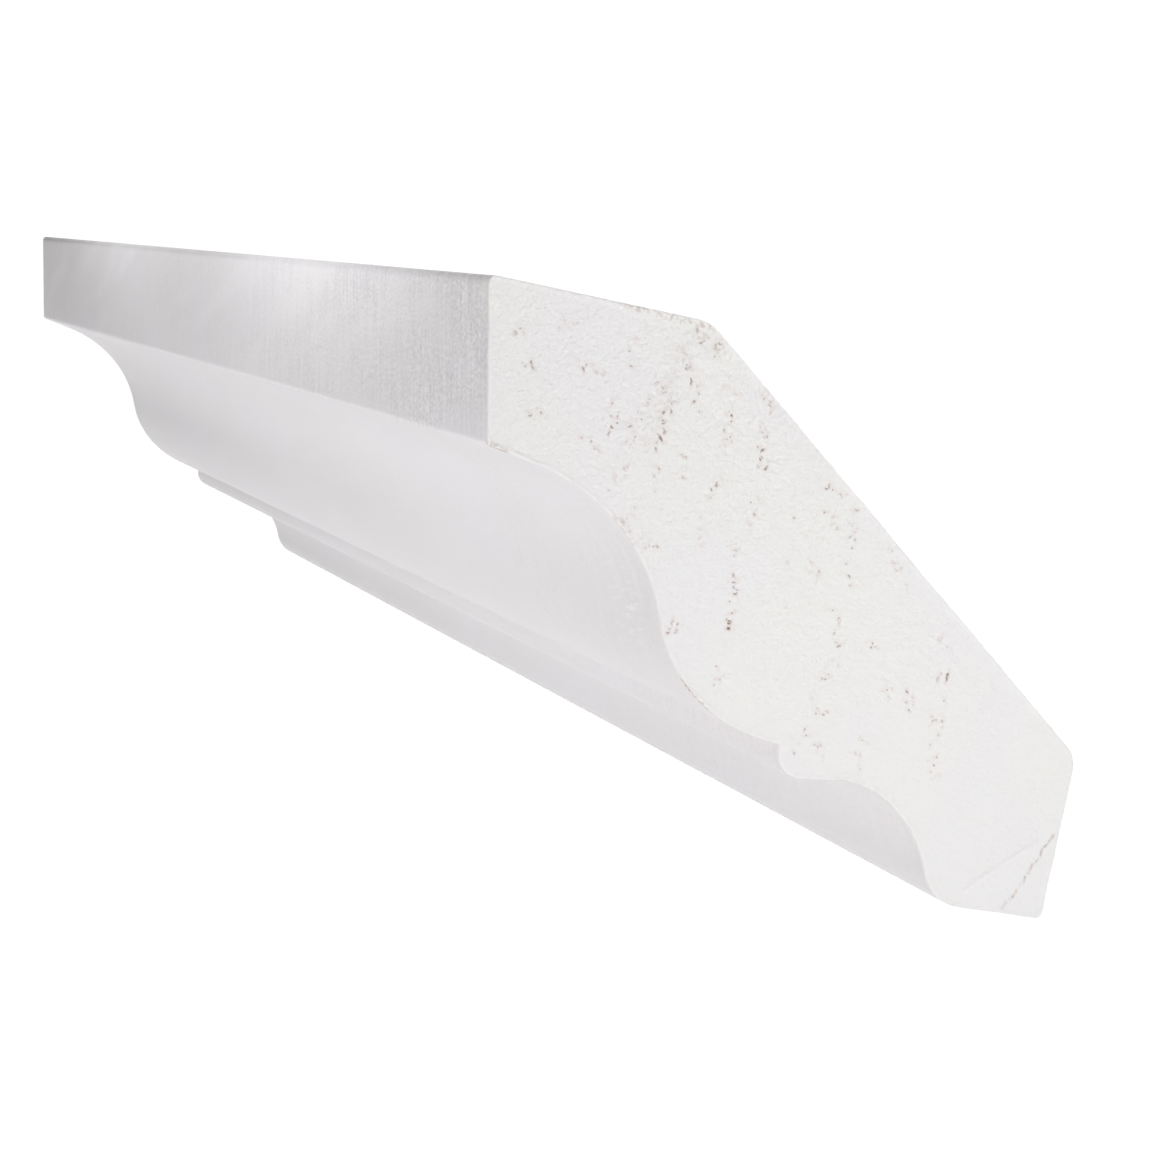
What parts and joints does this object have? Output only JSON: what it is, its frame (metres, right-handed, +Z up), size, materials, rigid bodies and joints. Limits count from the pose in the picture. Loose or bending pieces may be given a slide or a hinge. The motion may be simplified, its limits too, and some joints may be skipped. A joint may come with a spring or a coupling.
{
  "type": "crown moulding length",
  "caption": "Short square-cut length of solid wood crown moulding, primed white: fascia, cyma, bead and lower cove, with flats for the ceiling and the wall.",
  "frame": {"origin": "middle of the narrow flat that lies on the wall, half way along the length", "axes": "+X along the length to the pictured end, +Y square into the wall, +Z up to the ceiling; the room is on the -Y side"},
  "size_m": [0.305, 0.0737, 0.0541],
  "materials": {
    "white_primer": "solid hardwood with open pores under white primer, satin on the milled faces and dry on the sawn ends"
  },
  "bodies": {
    "root": {"crown_moulding": "white_primer"}
  },
  "joints": []
}
